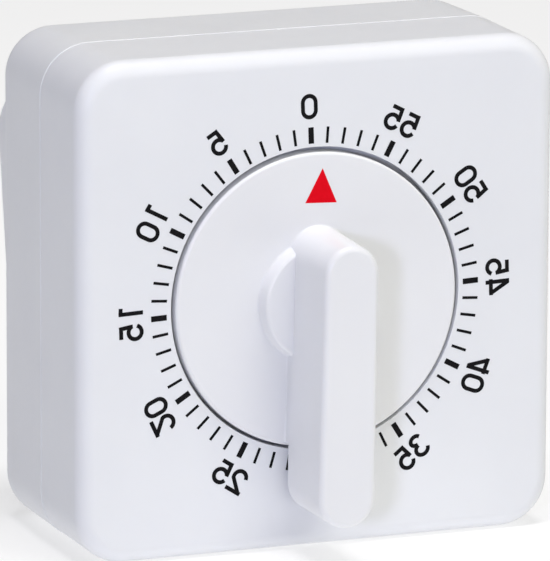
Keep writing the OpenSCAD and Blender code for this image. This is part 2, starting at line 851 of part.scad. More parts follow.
module hairspring() color("slategray") {
    stud_edge = stud_at - balance_at + polar(stud_r + hairspring_t / 2 + seated, 190);
    sheet(balance_at, hair_y, hair_w) {
        spiral_strip(train_arbor_r + collar_w - step, hairspring_r, hairspring_turns, 0, hairspring_t);
        difference() {
            circle(r = train_arbor_r + collar_w);
            circle(r = train_arbor_r + seated);
        }
        link(polar(hairspring_r, 0), stud_edge, hairspring_t);
    }
}

module hairspring_stud() color("silver") {
    rod(stud_at, span_1, hair_y + hair_w, stud_r);
    rod(stud_at, plate_1, span_1 + step, stud_foot_r);
}

// ---- plates and pillars --------------------------------------------------

module plate(front) {
    holes = [second_at, third_at, escape_at, pallet_at, balance_at];
    difference() {
        sheet(main_at, front, plate_t) rounded(plate_w, plate_w, plate_corner_r);
        for (p = holes) rod(p, front - cut, front + plate_t + cut, pivot_r + running);
        rod(hammer_at, front - cut, front + plate_t + cut, train_arbor_r + running);
    }
}

module front_plate() color("lightsteelblue") {
    difference() {
        plate(plate_1);
        rod(main_at, plate_1 - cut, span_1 + cut, arbor_r + running);
        for (p = pillars) rod(p, plate_1 - cut, span_1 + cut, pillar_foot_r + seated);
        for (p = posts) rod(p, plate_1 - cut, span_1 + cut, small_screw_r + screw_gap);
        for (p = [spring_post_at, release_at]) rod(p, plate_1 - cut, span_1 + cut, foot_r + seated);
        rod(stud_at, plate_1 - cut, span_1 + cut, stud_foot_r + seated);
    }
}

module rear_plate() color("lightsteelblue") {
    difference() {
        plate(span_2);
        rod(main_at, span_2 - cut, plate_2 + cut, rear_pivot_r + running);
        for (p = pillars) rod(p, span_2 - cut, plate_2 + cut, small_screw_r + screw_gap);
        for (p = posts) rod(p, span_2 - cut, plate_2 + cut, small_head_r + clear);
    }
}

module plate_pillars() color("silver") {
    for (p = pillars)
        difference() {
            union() {
                rod(p, span_1, span_2, pillar_r);
                rod(p, plate_1, span_1 + step, pillar_foot_r);
            }
            rod(p, span_2 - pillar_bore_l, span_2 + cut, small_screw_r + seated);
        }
}

module pillar_screws() color("dimgray") {
    for (p = pillars) screw(p, plate_2, small_screw_r, short_screw_l, small_head_r, small_head_h);
}

module movement_screws() color("dimgray") {
    for (p = posts) screw(p, span_1, small_screw_r, short_screw_l, small_head_r, small_head_h);
}

// ---- bell work -----------------------------------------------------------

head_at = polar(gong_r - gong_t - hammer_gap - hammer_r, 110);
head_back = gong_y + 3;

module hammer_arbor() color("silver") {
    rod(hammer_at, cam_y, hammer_y + hammer_t, train_arbor_r);
    for (y = [span_1 + play, span_2 - play - collar_l])
        rod(hammer_at, y, y + collar_l, train_arbor_r + collar_w);
}

module hammer() color("dimgray") {
    hammer_arm(hammer_y, hammer_t) link(hammer_at, head_at, hammer_arm_w);
    rod(head_at, hammer_y - step, head_back, hammer_r);
}

module hammer_tail() color("dimgray") {
    tail_dir = atan2(second_at[1] - hammer_at[1], second_at[0] - hammer_at[0]);
    tail = norm(second_at - hammer_at) - strike_r - tail_gap;
    hammer_arm(strike_y, cam_t) link(hammer_at, hammer_at + polar(tail, tail_dir), arm_w);
}

module hammer_stop() color("dimgray") {
    hammer_arm(cam_y, cam_t) link(hammer_at, hammer_at + [0, 3.2], arm_w);
}

// Flat arm with an eye that sits on the hammer's arbor
module hammer_arm(front, t) {
    difference() {
        sheet(main_at, front, t) {
            translate(hammer_at) circle(r = eye_r);
            children();
        }
        rod(hammer_at, front - cut, front + t + cut, train_arbor_r + seated);
    }
}

module release_lever() color("goldenrod") {
    bend = polar(cam_r + release_reach, notch_dir);
    difference() {
        sheet(main_at, cam_y, cam_t) {
            translate(release_at) circle(r = eye_r);
            link(release_at, bend, release_arm_w);
            link(bend, polar(cam_r + lift_gap, notch_dir), hammer_arm_w);
            link(release_at, hammer_at + [1.9, 3.6], arm_w);
        }
        rod(release_at, cam_y - cut, cam_y + cam_t + cut, release_pin_r + running);
    }
}

module release_stud() color("silver") {
    head = cam_y - play - release_head_t;
    rod(release_at, head, plate_1, release_pin_r);
    rod(release_at, head, head + release_head_t, release_head_r);
    rod(release_at, plate_1 - step, span_1, foot_r);
}

module gong_profile() {
    flat = gong_r - gong_knee;
    difference() {
        union() {
            translate([0, gong_d - gong_t]) square([flat, gong_t]);
            translate([flat, gong_d - gong_knee]) circle(r = gong_knee);
            translate([gong_r - gong_t, 0]) square([gong_t, gong_d - gong_knee]);
        }
        translate([flat, gong_d - gong_knee]) circle(r = gong_knee - gong_t);
        translate([0, -gong_knee]) square([gong_r - gong_t, gong_d]);
        translate([0, -gong_knee]) square([flat, gong_d - gong_t + gong_knee]);
        square([small_screw_r + screw_gap, gong_d + cut]);
    }
}

module gong() color("lightgray") {
    translate([dial_x, gong_y, dial_z]) rotate([-90, 0, 0]) rotate_extrude() gong_profile();
}

module gong_post() color("silver") {
    difference() {
        union() {
            rod(main_at, plate_2, plate_2 + gong_base_t, gong_base_r);
            rod(main_at, plate_2 + gong_base_t - step, gong_back - gong_t, gong_post_r);
        }
        rod(main_at, plate_2 - cut, plate_2 + gong_base_t - wheel_gap, rear_pivot_r + clear);
        rod(main_at, gong_back - gong_t - gong_bore_l, gong_back, small_screw_r + seated);
    }
}

module gong_screw() color("dimgray") {
    screw(main_at, gong_back, small_screw_r, gong_screw_l, gong_head_r, small_head_h);
}

front_housing();
rear_housing();
knob();
main_arbor();
release_cam();
mainspring();
spring_post();
ratchet_wheel();
click();
click_stud();
click_spring();
main_wheel();
second_pinion();
second_wheel();
strike_wheel();
third_pinion();
third_wheel();
escape_pinion();
escape_wheel();
pallet_arbor();
pallet_lever();
balance_staff();
balance_wheel();
hairspring();
hairspring_stud();
front_plate();
rear_plate();
plate_pillars();
pillar_screws();
movement_screws();
hammer_arbor();
hammer();
hammer_tail();
hammer_stop();
release_lever();
release_stud();
gong();
gong_post();
gong_screw();
case_screws();
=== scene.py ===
import json
import math

import bmesh
import bpy
from mathutils import Matrix, Vector


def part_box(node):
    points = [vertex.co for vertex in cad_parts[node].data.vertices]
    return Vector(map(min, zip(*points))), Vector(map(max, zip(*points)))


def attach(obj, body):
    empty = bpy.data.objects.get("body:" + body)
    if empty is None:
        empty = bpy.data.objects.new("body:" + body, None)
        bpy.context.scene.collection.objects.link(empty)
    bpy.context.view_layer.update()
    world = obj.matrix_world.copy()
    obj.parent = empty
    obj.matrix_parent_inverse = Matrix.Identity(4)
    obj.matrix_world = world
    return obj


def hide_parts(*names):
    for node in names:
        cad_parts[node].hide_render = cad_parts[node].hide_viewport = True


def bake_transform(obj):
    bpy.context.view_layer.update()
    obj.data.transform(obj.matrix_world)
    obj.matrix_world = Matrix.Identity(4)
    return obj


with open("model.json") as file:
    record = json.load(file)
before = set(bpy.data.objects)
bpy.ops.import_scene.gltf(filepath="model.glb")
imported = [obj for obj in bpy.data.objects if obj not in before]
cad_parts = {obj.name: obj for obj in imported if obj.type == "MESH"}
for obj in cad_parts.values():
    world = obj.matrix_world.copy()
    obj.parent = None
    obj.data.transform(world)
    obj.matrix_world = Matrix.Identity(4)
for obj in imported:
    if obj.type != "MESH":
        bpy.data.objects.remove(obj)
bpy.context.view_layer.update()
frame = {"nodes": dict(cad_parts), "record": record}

MM = 0.001

# ---- sizes, in millimetres, from the frame ----------------------------------


def box_mm(node):
    low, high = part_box(node)
    return low / MM, high / MM


front_low = box_mm("front_housing")[0]
rear_low, rear_high = box_mm("rear_housing")
knob_low, knob_high = box_mm("knob")
gong_low, gong_high = box_mm("gong")
screw_high = box_mm("case_screws")[1]
pillar_low = box_mm("plate_pillars")[0]

CASE_W = rear_high.x - rear_low.x
CASE_H = rear_high.z
FRONT_Y = front_low.y
PART_Y = rear_low.y
BACK_Y = -FRONT_Y
DIAL_X = (gong_low.x + gong_high.x) / 2
DIAL_Z = (gong_low.z + gong_high.z) / 2
GRIP_H = FRONT_Y - knob_low.y
SLEEVE_END = knob_high.y - FRONT_Y
PLATE_FRONT = pillar_low.y

# Case
CORNER_R = 7.2
WALL = 2.0
FRONT_ROUND = 2.35
REAR_ROUND = 4.4
FRONT_DRAFT = math.radians(0.64)
REAR_DRAFT = math.radians(0.98)
PARTING_STEP = 0.07
PARTING_BEVEL = 0.14
CASE_SCREW_IN = 6.3
SCREW_BOSS_R = 3.2
SCREW_BORE_R = 1.1
SCREW_PASS_R = 1.3
SCREW_HEAD_R = 2.3
SCREW_HEAD_H = 1.5
POST_R = 2.4
POST_BORE_R = 0.81
POST_FLOOR = 1.0
POSTS = ((-24.6, 8.6), (24.6, 8.6), (11.5, -24.6))

# Bell chamber behind the case
CHAMBER_W = 65.0
CHAMBER_TOP = 61.7
CHAMBER_BOTTOM = 9.6
CHAMBER_H = CHAMBER_TOP - CHAMBER_BOTTOM
CHAMBER_D = 9.97
CHAMBER_SLOPE = math.radians(8.8)
CHAMBER_CORNER_R = 8.5
CHAMBER_ROUND = 2.0
SLOT_COUNT = 5
SLOT_W = 1.8
SLOT_L = 18.0
SLOT_PITCH = 5.0
SLOT_BEVEL = 0.3
SLOT_D = 2.2 * WALL

# Dial recess and disc
RECESS_R = 21.4
RECESS_LIFT = 0.14
RECESS_D = 3.0
RECESS_FLOOR = 1.6
RECESS_ROUND = 0.1
SLEEVE_HOLE_R = 4.8
DISC_R = 20.82
DISC_PROUD = 0.4
DISC_T = 1.8
DISC_ROUND = 0.45
SKIRT_W = 1.5
SKIRT_D = 0.6
BOSS_R = 8.65
BOSS_TOP_R = 8.4
BOSS_H = 2.2
BOSS_ROUND = 0.55
SLEEVE_R = 4.5
ARBOR_R = 2.01
ARBOR_FLAT = 0.5
ARBOR_END = 10.4
SOCKET_WALL = 1.2

# Bar grip
GRIP_UP = 10.5
GRIP_DOWN = 29.6
GRIP_HALF_W = 4.25
GRIP_FRONT_UP = 3.95
GRIP_FRONT_DOWN = 4.15
GRIP_ROUND = 0.9
GRIP_GAP = 1.5
GRIP_WALL = 1.7
ROOT_ROUND = 0.3
ROOT_STEP = 0.02
ROOT_OVERLAP = 0.4
CORE_PAST_DISC = 0.01
KNOB_REST = math.radians(-0.95)

# Printed scale and pointer
SCALE_TURN = math.radians(2.03)
TICK_MIDDLE = 23.2
TICK_LENGTH = 2.3
TICK_THIN = 0.4
TICK_BOLD = 0.8
DIGIT_RADIUS = 27.28
DIGIT_SHIFT = 0.15
DIGIT_PITCH = 2.72
DIGIT_H = 3.58
DIGIT_W = 2.48
DIGIT_STROKE = 0.58
LABEL_LEAN = {20: 7, 25: 5, 35: -7, 40: -7}
INK = 0.012
INK_LAYER = 0.003
POINTER_TIP = (0.44, 18.57)
POINTER_BASE = (0.30, 13.72)
POINTER_HALF_W = 2.335

# Leaf spring of the click
LEAF_T = 0.3
LEAF_W = 0.4
LEAF_REACH = 2.0
LEAF_FOOT_R = 0.5

# How far two pieces that are joined run into each other, and a cutter past what it cuts
OVERLAP = 0.5
CLEAR = 1.0

# Camera, in degrees and millimetres
CAMERA_ANGLES = (-21.495, 12.768, 0.208)
CAMERA_X = -6.542
CAMERA_Z = 38.565
CAMERA_DISTANCE = 978.1
CAMERA_LENS = 455.17
CAMERA_SENSOR = 36

# Steps of the curved outlines
CORNER_STEPS = 18
SIDE_STEPS = 30
ROUND_STEPS = 10
CIRCLE_STEPS = 160
BOSS_STEPS = 64
END_STEPS = 32
BAR_END_STEPS = 48
BAR_SIDE_STEPS = 24


# ---- mesh building -----------------------------------------------------------


def mesh_object(name, vertices, faces):
    """New object from points in millimetres, with its face normals outwards."""
    mesh = bpy.data.meshes.new(name)
    mesh.from_pydata([[c * MM for c in v] for v in vertices], [], faces)
    obj = bpy.data.objects.new(name, mesh)
    bpy.context.scene.collection.objects.link(obj)
    work = bmesh.new()
    work.from_mesh(mesh)
    bmesh.ops.recalc_face_normals(work, faces=work.faces)
    work.to_mesh(mesh)
    work.free()
    return obj


def loft(name, rings, closed=False):
    """Skin over rings of equally many points. An open loft gets a flat cap at each end."""
    count = len(rings[0])
    vertices = [p for ring in rings for p in ring]
    faces = []
    pairs = len(rings) if closed else len(rings) - 1
    for i in range(pairs):
        a, b = i * count, (i + 1) % len(rings) * count
        for k in range(count):
            n = (k + 1) % count
            faces.append((a + k, a + n, b + n, b + k))
    if not closed:
        faces.append(tuple(range(count)))
        faces.append(tuple(range(len(vertices) - count, len(vertices))))
    return mesh_object(name, vertices, faces)


def combine(target, tool, operation):
    """Joins, cuts or intersects target with tool, and removes tool."""
    modifier = target.modifiers.new("combine", "BOOLEAN")
    modifier.operation = operation
    modifier.solver = "EXACT"
    modifier.object = tool
    bpy.context.view_layer.update()
    evaluated = target.evaluated_get(bpy.context.evaluated_depsgraph_get())
    result = bpy.data.meshes.new_from_object(evaluated)
    target.modifiers.clear()
    target.data = result
    bpy.data.objects.remove(tool)


def smooth(obj, sharp_angle=32):
    """Smooth shading that keeps flat faces flat and hard edges hard."""
    work = bmesh.new()
    work.from_mesh(obj.data)
    bmesh.ops.dissolve_degenerate(work, dist=1e-8, edges=work.edges)
    limit = math.radians(sharp_angle)
    for face in work.faces:
        face.smooth = True
    for edge in work.edges:
        edge.smooth = len(edge.link_faces) == 2 and edge.calc_face_angle(0) < limit
    work.to_mesh(obj.data)
    work.free()
    weighted = obj.modifiers.new("normals", "WEIGHTED_NORMAL")
    weighted.keep_sharp = True
    weighted.weight = 50
    return obj


def rounded_outline(width, height, radius):
    """Upright rounded rectangle round (0, 0), anticlockwise from the right side."""
    corners = []
    for sx, sz, start in ((1, 1, 0), (-1, 1, 90), (-1, -1, 180), (1, -1, 270)):
        arc = []
        for k in range(CORNER_STEPS + 1):
            a = math.radians(start + 90 * k / CORNER_STEPS)
            arc.append((sx * (width / 2 - radius) + radius * math.cos(a),
                        sz * (height / 2 - radius) + radius * math.sin(a)))
        corners.append(arc)
    points = []
    for i, arc in enumerate(corners):
        points += arc
        (x0, z0), (x1, z1) = arc[-1], corners[(i + 1) % 4][0]
        for k in range(1, SIDE_STEPS):
            t = k / SIDE_STEPS
            points.append((x0 + (x1 - x0) * t, z0 + (z1 - z0) * t))
    return points


def case_ring(y, inset, under):
    """Outline of the case at one depth: inset at the sides and the top, and its own inset underneath."""
    width, height = CASE_W - 2 * inset, CASE_H - inset - under
    middle = under + height / 2
    return [(x, y, middle + z) for x, z in rounded_outline(width, height, max(CORNER_R - inset, 1))]


def cavity_ring(y, inset):
    outline = rounded_outline(CASE_W - 2 * inset, CASE_H - 2 * inset, CORNER_R - WALL)
    return [(x, y, CASE_H / 2 + z) for x, z in outline]


def dial_ring(ring, y, radius, lift=0.0):
    """Circle round the dial axis, or just above it, with points in the same directions as those of ring."""
    points = []
    for px, _, pz in ring:
        a = math.atan2(pz - DIAL_Z, px - DIAL_X)
        points.append((DIAL_X + radius * math.cos(a), y, DIAL_Z + lift + radius * math.sin(a)))
    return points


def between(first, last, steps):
    """Rings evenly spaced between two rings, both left out."""
    return [[tuple(a + (b - a) * k / steps for a, b in zip(p, q)) for p, q in zip(first, last)]
            for k in range(1, steps)]


def quarter(steps=ROUND_STEPS):
    """Angles of a quarter circle."""
    return [math.pi / 2 * k / steps for k in range(steps + 1)]


def round_ended(x, top, bottom, radius):
    """Upright outline with half circles round (x, top) and (x, bottom)."""
    points = []
    for z, start in ((top, 0), (bottom, math.pi)):
        for k in range(END_STEPS + 1):
            a = start + math.pi * k / END_STEPS
            points.append((x + radius * math.cos(a), z + radius * math.sin(a)))
    return points


def rod(name, x, z, front, back, radius):
    rings = [[(x + radius * math.cos(2 * math.pi * k / CIRCLE_STEPS), y,
               z + radius * math.sin(2 * math.pi * k / CIRCLE_STEPS)) for k in range(CIRCLE_STEPS)]
             for y in (front, back)]
    return loft(name, rings)


# ---- the case ----------------------------------------------------------------


def case_screw_places():
    x = CASE_W / 2 - CASE_SCREW_IN
    return [(s * x, z) for s in (-1, 1) for z in (CASE_SCREW_IN, CASE_H - CASE_SCREW_IN)]


def tube(name, x, z, front, back, radius, bore, bore_front):
    """Boss with a blind hole from its back."""
    turns = [2 * math.pi * k / BOSS_STEPS for k in range(BOSS_STEPS)]
    rings = [[(x + r * math.cos(a), y, z + r * math.sin(a)) for a in turns]
             for r, y in ((radius, front), (radius, back), (bore, back), (bore, bore_front))]
    return loft(name, rings)


def front_shell():
    depth = PART_Y - FRONT_Y
    rise = depth * math.tan(FRONT_DRAFT)

    def outer(y, inset):
        drafted = PARTING_STEP + (rise - PARTING_STEP) * (PART_Y - y) / depth
        return case_ring(y, drafted + inset, PARTING_STEP * (y - FRONT_Y) / depth + inset)

    rings = []
    for a in quarter(3):
        rings.append(outer(PART_Y - PARTING_BEVEL * (1 - math.cos(a)), PARTING_BEVEL * (1 - math.sin(a))))
    for a in quarter():
        rings.append(outer(FRONT_Y + FRONT_ROUND * (1 - math.sin(a)), FRONT_ROUND * (1 - math.cos(a))))
    edge = rings[-1]
    rim = dial_ring(edge, FRONT_Y, RECESS_R + RECESS_ROUND, RECESS_LIFT)
    rings += between(edge, rim, 6)
    for a in quarter(4):
        rings.append(dial_ring(edge, FRONT_Y + RECESS_ROUND * (1 - math.cos(a)),
                               RECESS_R + RECESS_ROUND * (1 - math.sin(a)), RECESS_LIFT))
    floor = FRONT_Y + RECESS_D
    back = floor + RECESS_FLOOR
    inner = FRONT_Y + WALL
    cup = RECESS_R + RECESS_FLOOR
    rings.append(dial_ring(edge, floor, RECESS_R, RECESS_LIFT))
    for radius, y in ((SLEEVE_HOLE_R, floor), (SLEEVE_HOLE_R, back), (cup, back), (cup, inner)):
        rings.append(dial_ring(edge, y, radius))
    corner = cavity_ring(inner, WALL)
    rings += between(rings[-1], corner, 4)
    rings.append(corner)
    rings.append(cavity_ring(PART_Y, WALL))
    shell = loft("case_front", rings, closed=True)
    for x, z in case_screw_places():
        combine(shell, tube("boss", x, z, inner - CLEAR, PART_Y, SCREW_BOSS_R, SCREW_BORE_R, inner), "UNION")
    for x, z in POSTS:
        post = tube("post", DIAL_X + x, DIAL_Z + z, inner - CLEAR, PLATE_FRONT, POST_R, POST_BORE_R,
                    inner + POST_FLOOR)
        combine(shell, post, "UNION")
    return smooth(shell)


def chamber_outline(inset):
    return rounded_outline(CHAMBER_W - 2 * inset, CHAMBER_H - 2 * inset, CHAMBER_CORNER_R - inset)


def chamber_ring(behind, inset):
    """Outline of the bell chamber parallel to its sloping back."""
    top_y = BACK_Y + CHAMBER_D - behind
    return [(x, top_y + (z - CHAMBER_H / 2) * math.sin(CHAMBER_SLOPE),
             CHAMBER_TOP + (z - CHAMBER_H / 2) * math.cos(CHAMBER_SLOPE)) for x, z in chamber_outline(inset)]


def chamber_root(y, inset):
    """Upright outline of the bell chamber, as it leaves the case."""
    return [(x, y, CHAMBER_BOTTOM + CHAMBER_H / 2 + z) for x, z in chamber_outline(inset)]


def slot_ring(x, y_at, grow):
    """Outline of a sound slot with round ends, grown all round."""
    radius = SLOT_W / 2 + grow
    half = SLOT_L / 2 - SLOT_W / 2
    return [(px, y_at(pz), pz) for px, pz in round_ended(x, DIAL_Z + half, DIAL_Z - half, radius)]


def rear_shell():
    depth = BACK_Y - PART_Y
    rise = depth * math.tan(REAR_DRAFT)

    def outer(y, inset, under=None):
        return case_ring(y, rise * (y - PART_Y) / depth + inset, inset if under is None else under)

    rings = []
    for a in quarter(4):
        rings.append(outer(PART_Y + PARTING_BEVEL * (1 - math.cos(a)), PARTING_BEVEL * (1 - math.sin(a))))
    for a in quarter(12):
        rings.append(outer(BACK_Y - REAR_ROUND * (1 - math.sin(a)), REAR_ROUND * (1 - math.cos(a))))
    shell = loft("case_rear", rings)
    root = chamber_root(BACK_Y - WALL, 0)
    skin = [chamber_ring(CHAMBER_ROUND * (1 - math.sin(a)), CHAMBER_ROUND * (1 - math.cos(a)))
            for a in quarter(8)]
    combine(shell, loft("chamber", [root] + between(root, skin[0], 3) + skin), "UNION")
    throat = BACK_Y - REAR_ROUND
    inside = [cavity_ring(y, WALL + rise) for y in (PART_Y - CLEAR, throat)]
    inside += [chamber_root(y, WALL) for y in (throat, BACK_Y - WALL)]
    inside += [chamber_ring(WALL + CHAMBER_ROUND * (1 - math.sin(a)),
                            WALL + CHAMBER_ROUND * (1 - math.cos(a))) for a in quarter(4)]
    combine(shell, loft("hollow", inside), "DIFFERENCE")
    surface = BACK_Y + CHAMBER_D
    tilt = math.tan(CHAMBER_SLOPE)
    for x, z in case_screw_places():
        combine(shell, rod("boss", x, z, PART_Y, throat + OVERLAP, SCREW_BOSS_R), "UNION")
    for x, z in case_screw_places():
        seat = screw_high.y - SCREW_HEAD_H
        combine(shell, rod("bore", x, z, PART_Y - CLEAR, BACK_Y, SCREW_PASS_R), "DIFFERENCE")
        combine(shell, rod("bore", x, z, seat, BACK_Y + CLEAR, SCREW_HEAD_R), "DIFFERENCE")
    levels = ((CLEAR, SLOT_BEVEL + CLEAR), (0, SLOT_BEVEL), (-SLOT_BEVEL, 0), (-SLOT_D, 0))
    slots = None
    for k in range(SLOT_COUNT):
        x = (k - (SLOT_COUNT - 1) / 2) * SLOT_PITCH
        cutter = loft("slot", [slot_ring(x, lambda z, up=up: surface + up + (z - CHAMBER_TOP) * tilt, grow)
                               for up, grow in levels])
        if slots:
            combine(slots, cutter, "UNION")
        else:
            slots = cutter
    combine(shell, slots, "DIFFERENCE")
    return smooth(shell)


# ---- the knob ----------------------------------------------------------------


def turned(ring):
    """Turns points about the dial axis to the knob's place at rest."""
    c, s = math.cos(KNOB_REST), math.sin(KNOB_REST)
    return [(DIAL_X + x * c - z * s, FRONT_Y - h, DIAL_Z + x * s + z * c) for x, h, z in ring]


def bar_ring(h, up_r, down_r, grow=0, clip=None):
    """Outline of the upright bar at height h in front of the case. clip limits its lower end to a circle."""
    ring = []
    for k in range(BAR_END_STEPS + 1):
        a = math.pi * k / BAR_END_STEPS
        ring.append(((up_r + grow) * math.cos(a), GRIP_UP - GRIP_HALF_W + (up_r + grow) * math.sin(a)))
    low_z = GRIP_HALF_W - GRIP_DOWN
    if clip:
        half = down_r + grow
        edge = math.asin(half / clip)
        turns = [edge * (2 * k / BAR_END_STEPS - 1) for k in range(BAR_END_STEPS + 1)]
        low = [(clip * math.sin(a), -clip * math.cos(a)) for a in turns]
    else:
        turns = [math.pi + math.pi * k / BAR_END_STEPS for k in range(BAR_END_STEPS + 1)]
        low = [((down_r + grow) * math.cos(a), low_z + (down_r + grow) * math.sin(a)) for a in turns]
    left, right = between(ring[-1:], low[:1], BAR_SIDE_STEPS), between(low[-1:], ring[:1], BAR_SIDE_STEPS)
    left, right = [step[0] for step in left], [step[0] for step in right]
    return [(x, h, z) for x, z in ring + left + low + right]


def disc_profile():
    """Closed outline of the disc with its rim and sleeve, as (radius, y) points."""
    face = FRONT_Y - DISC_PROUD
    back = face + DISC_T
    points = [(0.0, face)]
    for a in quarter(8):
        points.append((DISC_R - DISC_ROUND * (1 - math.sin(a)), face + DISC_ROUND * (1 - math.cos(a))))
    points += [(DISC_R, back + SKIRT_D), (DISC_R - SKIRT_W, back + SKIRT_D), (DISC_R - SKIRT_W, back),
               (SLEEVE_R, back), (SLEEVE_R, FRONT_Y + SLEEVE_END), (0.0, FRONT_Y + SLEEVE_END)]
    return points


def turned_solid(name, profile):
    """Solid of revolution about the dial axis whose profile starts and ends on that axis."""
    vertices = [(DIAL_X, profile[0][1], DIAL_Z), (DIAL_X, profile[-1][1], DIAL_Z)]
    faces = []
    inner = profile[1:-1]
    count = len(inner)
    for k in range(CIRCLE_STEPS):
        a = 2 * math.pi * k / CIRCLE_STEPS
        vertices += [(DIAL_X + r * math.cos(a), y, DIAL_Z + r * math.sin(a)) for r, y in inner]
    for k in range(CIRCLE_STEPS):
        a, b = 2 + k * count, 2 + (k + 1) % CIRCLE_STEPS * count
        faces.append((0, a, b))
        faces.append((1, b + count - 1, a + count - 1))
        faces += [(a + i, a + i + 1, b + i + 1, b + i) for i in range(count - 1)]
    return mesh_object(name, vertices, faces)


def boss_profile():
    face = FRONT_Y - DISC_PROUD
    top = face - BOSS_H
    points = [(0.0, top)]
    for a in quarter(6):
        points.append((BOSS_TOP_R - BOSS_ROUND * (1 - math.sin(a)), top + BOSS_ROUND * (1 - math.cos(a))))
    for a in quarter(5):
        points.append((BOSS_R + ROOT_ROUND * (1 - math.cos(a)), face - ROOT_ROUND * (1 - math.sin(a))))
    points += [(BOSS_R + ROOT_ROUND, face + OVERLAP), (0.0, face + OVERLAP)]
    return points


def grip_bar():
    """The bar from the case's front to its face, with its front edge rounded."""
    side = GRIP_H - GRIP_ROUND - GRIP_GAP

    def at(h, inset):
        t = (h - GRIP_GAP) / side
        return bar_ring(h, GRIP_HALF_W + (GRIP_FRONT_UP - GRIP_HALF_W) * min(t, 1),
                        GRIP_HALF_W + (GRIP_FRONT_DOWN - GRIP_HALF_W) * min(t, 1), -inset)

    rings = [turned(at(GRIP_GAP + side * k / 6, 0)) for k in range(6)]
    for a in quarter(8):
        rings.append(turned(at(GRIP_H - GRIP_ROUND * (1 - math.sin(a)), GRIP_ROUND * (1 - math.cos(a)))))
    return loft("grip", rings)


def grip_root():
    """Foot of the bar on the disc, with a small fillet round it."""
    clip = DISC_R - DISC_ROUND
    levels = [(DISC_PROUD - OVERLAP, ROOT_ROUND)]
    for a in reversed(quarter(5)):
        levels.append((DISC_PROUD + ROOT_ROUND * (1 - math.sin(a)),
                       ROOT_ROUND * (1 - math.cos(a)) - ROOT_STEP))
    levels.append((GRIP_GAP + ROOT_OVERLAP, -ROOT_STEP))
    return loft("root", [turned(bar_ring(h, GRIP_HALF_W, GRIP_HALF_W, grow, clip)) for h, grow in levels])


def knob_piece():
    knob = turned_solid("turning_knob", disc_profile())
    combine(knob, turned_solid("boss", boss_profile()), "UNION")
    grip = grip_bar()
    combine(grip, grip_root(), "UNION")
    combine(knob, grip, "UNION")
    core_half = GRIP_HALF_W - GRIP_WALL
    reach = DISC_R - SKIRT_W - GRIP_HALF_W
    core = round_ended(0, GRIP_UP - GRIP_HALF_W, -reach, core_half)
    levels = (DISC_PROUD - DISC_T - CORE_PAST_DISC, GRIP_H - GRIP_WALL)
    combine(knob, loft("core", [turned([(x, h, z) for x, z in core]) for h in levels]), "DIFFERENCE")
    sleeve = rod("sleeve", DIAL_X, DIAL_Z, FRONT_Y - ARBOR_END - GRIP_WALL / 2, FRONT_Y + DISC_T,
                 ARBOR_R + SOCKET_WALL)
    combine(knob, sleeve, "UNION")
    flat = ARBOR_R - ARBOR_FLAT
    start = math.acos(flat / ARBOR_R)
    section = [(ARBOR_R * math.cos(start + (2 * math.pi - 2 * start) * k / 48),
                ARBOR_R * math.sin(start + (2 * math.pi - 2 * start) * k / 48)) for k in range(49)]
    bore = loft("bore", [turned([(x, h, z) for x, z in section]) for h in (ARBOR_END, -SLEEVE_END - CLEAR)])
    combine(knob, bore, "DIFFERENCE")
    return smooth(knob)


# ---- printed marks -----------------------------------------------------------


def stroke_sides(points, width, looped):
    """Points on both sides of a line of constant width, with mitred corners."""
    sides = []
    count = len(points)
    for i, p in enumerate(points):
        before = points[i - 1] if i or looped else None
        after = points[(i + 1) % count] if i < count - 1 or looped else None
        directions = []
        if before is not None:
            directions.append((Vector(p) - Vector(before)).normalized())
        if after is not None:
            directions.append((Vector(after) - Vector(p)).normalized())
        along = (directions[0] + directions[-1]).normalized()
        across = Vector((-along.y, along.x))
        half = width / 2 / max(along.dot(directions[0]), 0.3)
        sides.append((Vector(p) + across * half, Vector(p) - across * half))
    return sides


def add_stroke(vertices, faces, points, width, place, looped=False, layer=0):
    """Adds a thin printed line as a closed solid. place turns flat points into points of the row."""
    sides = stroke_sides(points, width, looped)
    base = len(vertices)
    for left, right in sides:
        for h in (INK + layer * INK_LAYER, -INK / 4):
            vertices += [place(left, h), place(right, h)]
    count = len(sides)
    for i in range(count if looped else count - 1):
        a, b = base + 4 * i, base + 4 * ((i + 1) % count)
        faces += [(a, b, b + 1, a + 1), (a + 2, a + 3, b + 3, b + 2),
                  (a, a + 2, b + 2, b), (a + 1, b + 1, b + 3, a + 3)]
    if not looped:
        a, b = base, base + 4 * (count - 1)
        faces += [(a, a + 1, a + 3, a + 2), (b, b + 2, b + 3, b + 1)]


def arc(cx, cz, rx, rz, first, last, steps=14):
    """Points of an elliptical arc, angles in degrees."""
    return [(cx + rx * math.cos(math.radians(first + (last - first) * k / steps)),
             cz + rz * math.sin(math.radians(first + (last - first) * k / steps))) for k in range(steps + 1)]


